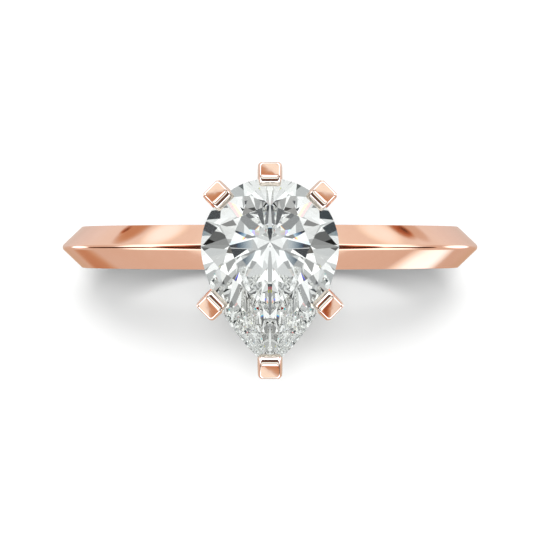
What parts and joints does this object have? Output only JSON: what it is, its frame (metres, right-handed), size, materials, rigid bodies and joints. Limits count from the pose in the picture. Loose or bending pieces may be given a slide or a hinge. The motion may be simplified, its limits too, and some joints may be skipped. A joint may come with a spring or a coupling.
{
  "type": "engagement ring",
  "caption": "Knife-edge band ring with a pear-cut clear stone held by claws on a raised open basket.",
  "frame": {"origin": "centre of the finger hole, midway across the band's width", "axes": "+Y along the finger hole, towards the stone's round end; +Z from the finger hole's centre up through the stone; +X along the band"},
  "size_m": [0.0204, 0.0091, 0.0245],
  "materials": {
    "gold": "polished",
    "stone": "polished"
  },
  "bodies": {
    "root": {"shank": "gold", "collar": "gold", "rail_lower": "gold", "rail_upper": "gold", "stone": "stone", "claw_head": "gold", "claw_head_left": "gold", "claw_head_right": "gold", "claw_side_left": "gold", "claw_side_right": "gold", "claw_point": "gold"}
  },
  "joints": []
}
